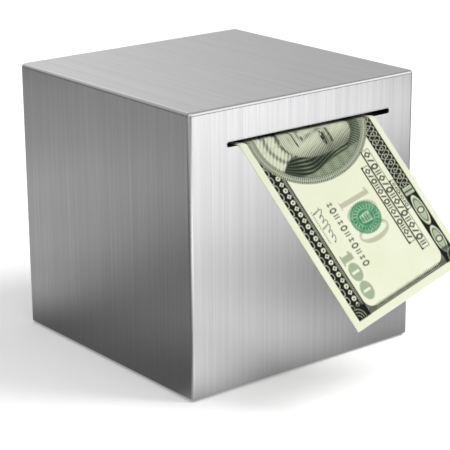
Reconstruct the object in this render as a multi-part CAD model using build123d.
"""Cube savings bank in brushed stainless sheet, with a note slot near the top of the front face.

A bent sheet makes the back, the top and the strip of front above the slot. A front panel meets it level
with the slot's lower edge, and two flat panels close the sides. Four gussets welded into the bottom
corners carry clinch nuts, and the base cover is screwed up against them. A rubber pad under the cover
is what the bank stands on. Two bent guards behind the slot keep notes and coins from coming back out.
A play note hangs out of the slot, folded over its lower edge.

Frame: millimetres, +Z up, the slot faces -Y. The origin is the middle of the rubber pad's lower face,
on the surface that the bank stands on.
"""

from build123d import *
from math import cos, radians, sin
import os

# Housing
CUBE_WIDTH = 110.0  # outside, along X
CUBE_DEPTH = 110.0  # outside, along Y
CUBE_HEIGHT = 109.2  # outside, along Z, without the pad, which brings it to 110
WALL = 1.2  # sheet thickness of the housing
EDGE_RADIUS = 1.4  # outside radius of the bends and the ground corners
BOTTOM_EDGE_RADIUS = 0.7  # outside rounding of the open bottom edge

# Note slot in the front face
SLOT_LENGTH = 80.2
SLOT_HEIGHT = 2.0
SLOT_OFFSET = 2.1  # from the middle of the face to the middle of the slot, along X
SLOT_BELOW_TOP = 14.2  # from the top face to the middle of the slot
SEAM_RISE = 0.2  # from the slot's lower edge to the seam between front panel and wrap

# Guards behind the slot
GUARD_SHEET = 0.8
GUARD_REACH = 22.0  # from the front sheet inward
GUARD_FLANGE = 9.0  # height of the flange welded to the front sheet
GUARD_END_GAP = 1.0  # from each end of the guard to the side panel
GUARD_RELIEF = 0.6  # gap between the slot's edge and the guard's leg
GUARD_BEND = 1.6  # outside bend radius
GUARD_LIP = 4.0  # length of the lip flared away from the slot
GUARD_LIP_RISE = 2.4  # how far the lip turns away

# Base cover, gussets, nuts and screws
COVER_SHEET = 1.2
COVER_CLEARANCE = 0.3  # from the cover's edge to the wall
COVER_CORNER_RADIUS = 1.0
GUSSET_LEG = 17.0  # side of the corner gusset
GUSSET_SHEET = 1.5
GUSSET_WELD_CHAMFER = 1.5  # corner cut off to clear the weld in the housing's corner
SCREW_INSET = 8.0  # from the wall's inner face to the screw's axis
SCREW_RADIUS = 1.45
SCREW_HEAD_RADIUS = 2.8
SCREW_HEAD_HEIGHT = 0.6
SCREW_HEAD_CHAMFER = 0.25
SCREW_TIP_CHAMFER = 0.4
SCREW_TIP_SHOWS = 0.8  # how far the screw stands out of its nut
SCREW_HOLE_CLEARANCE = 0.25  # between the screw and the hole in the cover
RECESS_LENGTH = 3.0  # cross recess in the screw's head
RECESS_WIDTH = 0.7
RECESS_DEPTH = 0.4
NUT_RADIUS = 3.1
NUT_HEIGHT = 2.0
NUT_SHANK_RADIUS = 2.1  # pressed into the gusset
THREAD_CLEARANCE = 0.05  # between the screw and the nut
PRESS_CLEARANCE = 0.02  # between the nut's shank and the gusset

# Rubber pad under the base cover
PAD_HEIGHT = 0.8
PAD_INSET = 1.3  # from the wall's inner face to the pad's edge
PAD_CORNER_RADIUS = 3.0
PAD_HOLE_CLEARANCE = 1.2  # between the screw's head and the hole in the pad

# Play note
NOTE_WIDTH = 65.0
NOTE_LENGTH = 153.0
NOTE_THICKNESS = 0.3
NOTE_OUTSIDE = 80.2  # along the note's left edge, from the slot to its outer end
NOTE_OFFSET = -2.2  # from the middle of the slot to the middle of the note, along X
NOTE_SLOPE = 54.0  # degrees below level, outside the slot
NOTE_SKEW = 12.6  # degrees that the note is turned in its own plane
NOTE_BEND_RADIUS = 1.5  # at the middle of the paper
NOTE_ABOVE_SLOT_EDGE = 0.25  # from the slot's lower edge to the paper
NOTE_BEND_STANDOFF = 0.3  # from the front face to where the fold starts

# Places that follow from the sizes
housing_bottom = PAD_HEIGHT
housing_top = housing_bottom + CUBE_HEIGHT
front_face = -CUBE_DEPTH / 2
inner_half_width = CUBE_WIDTH / 2 - WALL
inner_half_depth = CUBE_DEPTH / 2 - WALL
slot_middle = housing_top - SLOT_BELOW_TOP
slot_low_edge = slot_middle - SLOT_HEIGHT / 2
cover_top = housing_bottom + COVER_SHEET
corners = {
    "front_left": (-1, -1),
    "front_right": (1, -1),
    "back_left": (-1, 1),
    "back_right": (1, 1),
}

STANDING = (Align.CENTER, Align.CENTER, Align.MIN)
TOUCHING = 1e-6


def block(width, depth, height, z):
    """A box centred on the Z axis that stands on height z."""
    return Pos(0, 0, z) * Box(width, depth, height, align=STANDING)


def rod(radius, height):
    """A cylinder that stands on Z = 0."""
    return Cylinder(radius, height, align=STANDING)


def in_corner(piece, corner, inset, z):
    """The piece moved to `inset` from both walls of one bottom corner, at height z."""
    sign_x, sign_y = corners[corner]
    return Pos(sign_x * (inner_half_width - inset), sign_y * (inner_half_depth - inset), z) * piece


def in_each_corner(piece, inset, z):
    """One group of separate solids, a copy of the piece in each bottom corner."""
    return Compound(children=[in_corner(piece, corner, inset, z) for corner in corners])


def edges_along_x(solid, y, z):
    """The edges that run along X through the given Y and Z."""
    return [
        edge
        for edge in solid.edges().filter_by(Axis.X)
        if abs(edge.center().Y - y) < TOUCHING and abs(edge.center().Z - z) < TOUCHING
    ]


def housing_shell():
    """The whole hollow housing with every outer edge rounded, before it is cut into its sheets."""
    outside = block(CUBE_WIDTH, CUBE_DEPTH, CUBE_HEIGHT, housing_bottom)
    outside = fillet(outside.edges().sort_by(Axis.Z)[4:], EDGE_RADIUS)
    outside = fillet(outside.faces().sort_by(Axis.Z)[0].edges(), BOTTOM_EDGE_RADIUS)

    hollow = block(2 * inner_half_width, 2 * inner_half_depth, CUBE_HEIGHT - WALL, housing_bottom)
    bends = hollow.faces().sort_by(Axis.Z)[-1].edges().filter_by(Axis.X)
    return outside - fillet(bends, EDGE_RADIUS - WALL)


def slot_cutter():
    """A bar with the slot's rounded outline that runs through the front sheet."""
    outline = Pos(SLOT_OFFSET, slot_middle) * SlotOverall(SLOT_LENGTH, SLOT_HEIGHT)
    return extrude(Plane.XZ.offset(-front_face) * outline, 2 * WALL, both=True)


def front_zone():
    """The space of the front sheet between the side panels, up to the seam."""
    height = slot_low_edge + SEAM_RISE - housing_bottom
    zone = block(2 * inner_half_width, WALL, height, housing_bottom)
    return Pos(0, front_face + WALL / 2, 0) * zone


def front_panel(shell):
    """The front sheet from the bottom up to the seam at the slot's lower edge."""
    return (shell & front_zone()) - slot_cutter()


def top_back_wrap(shell):
    """One sheet bent into the back, the top and the strip of front that holds the slot."""
    between_sides = block(2 * inner_half_width, CUBE_DEPTH, CUBE_HEIGHT, housing_bottom)
    return (shell & between_sides) - front_zone() - slot_cutter()


def side_panel(shell, sign_x):
    """A flat panel that closes one side, welded to the other sheets and ground flush."""
    slab = block(WALL, CUBE_DEPTH, CUBE_HEIGHT, housing_bottom)
    return shell & Pos(sign_x * (inner_half_width + WALL / 2), 0, 0) * slab


def slot_guard(side):
    """A bent strip behind the slot, above it for side 1 and below it for side -1."""
    sheet_inside = front_face + WALL
    leg_near = slot_middle + side * (SLOT_HEIGHT / 2 + GUARD_RELIEF)
    leg_far = leg_near + side * GUARD_SHEET
    flange_end = leg_near + side * GUARD_FLANGE
    tip = sheet_inside + GUARD_REACH
    section = Polyline(
        (sheet_inside, leg_near),
        (tip - GUARD_LIP, leg_near),
        (tip, leg_near + side * GUARD_LIP_RISE),
        (tip, leg_far + side * GUARD_LIP_RISE),
        (tip - GUARD_LIP, leg_far),
        (sheet_inside + GUARD_SHEET, leg_far),
        (sheet_inside + GUARD_SHEET, flange_end),
        (sheet_inside, flange_end),
        close=True,
    )
    strip = extrude(Plane.YZ * make_face(section), inner_half_width - GUARD_END_GAP, both=True)
    strip = fillet(edges_along_x(strip, sheet_inside, leg_near), GUARD_BEND)
    return fillet(edges_along_x(strip, sheet_inside + GUARD_SHEET, leg_far), GUARD_BEND - GUARD_SHEET)


def corner_gusset(corner):
    """A flat gusset welded into one bottom corner, bored for its clinch nut."""
    sign_x, sign_y = corners[corner]
    outline = Polyline(
        (-GUSSET_WELD_CHAMFER, 0),
        (-GUSSET_LEG, 0),
        (-GUSSET_LEG, -GUSSET_LEG / 2),
        (-GUSSET_LEG / 2, -GUSSET_LEG),
        (0, -GUSSET_LEG),
        (0, -GUSSET_WELD_CHAMFER),
        close=True,
    )
    plate = extrude(make_face(outline), GUSSET_SHEET)
    if sign_x < 0:
        plate = mirror(plate, about=Plane.YZ)
    if sign_y < 0:
        plate = mirror(plate, about=Plane.XZ)
    bore = rod(NUT_SHANK_RADIUS + PRESS_CLEARANCE, GUSSET_SHEET)
    return in_corner(plate, corner, 0, cover_top) - in_corner(bore, corner, SCREW_INSET, cover_top)


def clinch_nut():
    """A round clinch nut whose shank starts at Z = 0 and whose body stands on the gusset."""
    body = Pos(0, 0, GUSSET_SHEET) * rod(NUT_RADIUS, NUT_HEIGHT)
    bore = rod(SCREW_RADIUS + THREAD_CLEARANCE, GUSSET_SHEET + NUT_HEIGHT)
    return rod(NUT_SHANK_RADIUS, GUSSET_SHEET) + body - bore


def base_screw():
    """A low-head machine screw, head down, whose head meets the cover at Z = 0."""
    length = COVER_SHEET + GUSSET_SHEET + NUT_HEIGHT + SCREW_TIP_SHOWS
    shank = rod(SCREW_RADIUS, length)
    shank = chamfer(shank.faces().sort_by(Axis.Z)[-1].edges(), SCREW_TIP_CHAMFER)
    head = rod(SCREW_HEAD_RADIUS, SCREW_HEAD_HEIGHT)
    head = chamfer(head.faces().sort_by(Axis.Z)[0].edges(), SCREW_HEAD_CHAMFER)
    arm = Box(RECESS_LENGTH, RECESS_WIDTH, RECESS_DEPTH, align=STANDING)
    head -= arm + Rot(0, 0, 90) * arm
    return Pos(0, 0, -SCREW_HEAD_HEIGHT) * head + shank


def base_cover():
    """The plate that closes the bottom, with a hole for each screw."""
    half_width, half_depth = inner_half_width - COVER_CLEARANCE, inner_half_depth - COVER_CLEARANCE
    plate = block(2 * half_width, 2 * half_depth, COVER_SHEET, housing_bottom)
    plate = fillet(plate.edges().filter_by(Axis.Z), COVER_CORNER_RADIUS)
    hole = rod(SCREW_RADIUS + SCREW_HOLE_CLEARANCE, COVER_SHEET)
    return plate - in_each_corner(hole, SCREW_INSET, housing_bottom)


def base_pad():
    """The rubber sheet glued under the cover, with a hole around each screw's head."""
    half_width, half_depth = inner_half_width - PAD_INSET, inner_half_depth - PAD_INSET
    sheet = block(2 * half_width, 2 * half_depth, PAD_HEIGHT, 0)
    sheet = fillet(sheet.edges().filter_by(Axis.Z), PAD_CORNER_RADIUS)
    hole = rod(SCREW_HEAD_RADIUS + PAD_HOLE_CLEARANCE, PAD_HEIGHT)
    return sheet - in_each_corner(hole, SCREW_INSET, 0)


def play_note():
    """A note through the slot, level inside and folded down outside, turned a little in its own plane.

    The fold lies along the slot. Each long edge is one plane through its level run and its sloping
    run, so the two runs unfold into one straight strip.
    """
    slope, skew = radians(NOTE_SLOPE), radians(NOTE_SKEW)
    paper = slot_low_edge + NOTE_ABOVE_SLOT_EDGE + NOTE_THICKNESS / 2
    fold_start = front_face - NOTE_BEND_STANDOFF
    fold_end = (
        fold_start - NOTE_BEND_RADIUS * sin(slope),
        paper - NOTE_BEND_RADIUS * (1 - cos(slope)),
    )
    reach = NOTE_LENGTH + NOTE_WIDTH
    middle_line = Line((fold_start + reach, paper), (fold_start, paper))
    middle_line += CenterArc((fold_start, paper - NOTE_BEND_RADIUS), NOTE_BEND_RADIUS, 90, NOTE_SLOPE)
    middle_line += Line(
        fold_end, (fold_end[0] - reach * cos(slope), fold_end[1] - reach * sin(slope))
    )
    sheet = extrude(Plane.YZ * trace(middle_line, NOTE_THICKNESS), reach, both=True)

    level_run = Vector(sin(skew), -cos(skew), 0)
    sloping_run = Vector(sin(skew), -cos(skew) * cos(slope), -cos(skew) * sin(slope))
    middle = SLOT_OFFSET + NOTE_OFFSET
    half_crossing = NOTE_WIDTH / cos(skew) / 2
    left = Vector(middle - half_crossing, fold_start, paper)
    right = Vector(middle + half_crossing, fold_start, paper)
    outer_end = left + sloping_run * NOTE_OUTSIDE
    inner_end = left - level_run * (NOTE_LENGTH - NOTE_OUTSIDE)
    edge_side = level_run.cross(sloping_run)
    for place, outward in (
        (left, -edge_side),
        (right, edge_side),
        (outer_end, sloping_run),
        (inner_end, -level_run),
    ):
        sheet = split(sheet, bisect_by=Plane(origin=place, z_dir=outward), keep=Keep.BOTTOM)
    return sheet


def build():
    """Every piece of the bank by its node's name."""
    shell = housing_shell()
    pieces = {
        "front_panel": front_panel(shell),
        "top_back_wrap": top_back_wrap(shell),
        "left_side_panel": side_panel(shell, -1),
        "right_side_panel": side_panel(shell, 1),
        "upper_slot_guard": slot_guard(1),
        "lower_slot_guard": slot_guard(-1),
        "clinch_nuts": in_each_corner(clinch_nut(), SCREW_INSET, cover_top),
        "base_cover": base_cover(),
        "base_screws": in_each_corner(base_screw(), SCREW_INSET, housing_bottom),
        "base_pad": base_pad(),
        "play_note": play_note(),
    }
    for corner in corners:
        pieces[f"{corner}_gusset"] = corner_gusset(corner)
    return pieces


def main():
    """Writes one STEP file for each piece."""
    os.makedirs("parts", exist_ok=True)
    for node, shape in build().items():
        export_step(shape, f"parts/{node}.step")


if __name__ == "__main__":
    main()
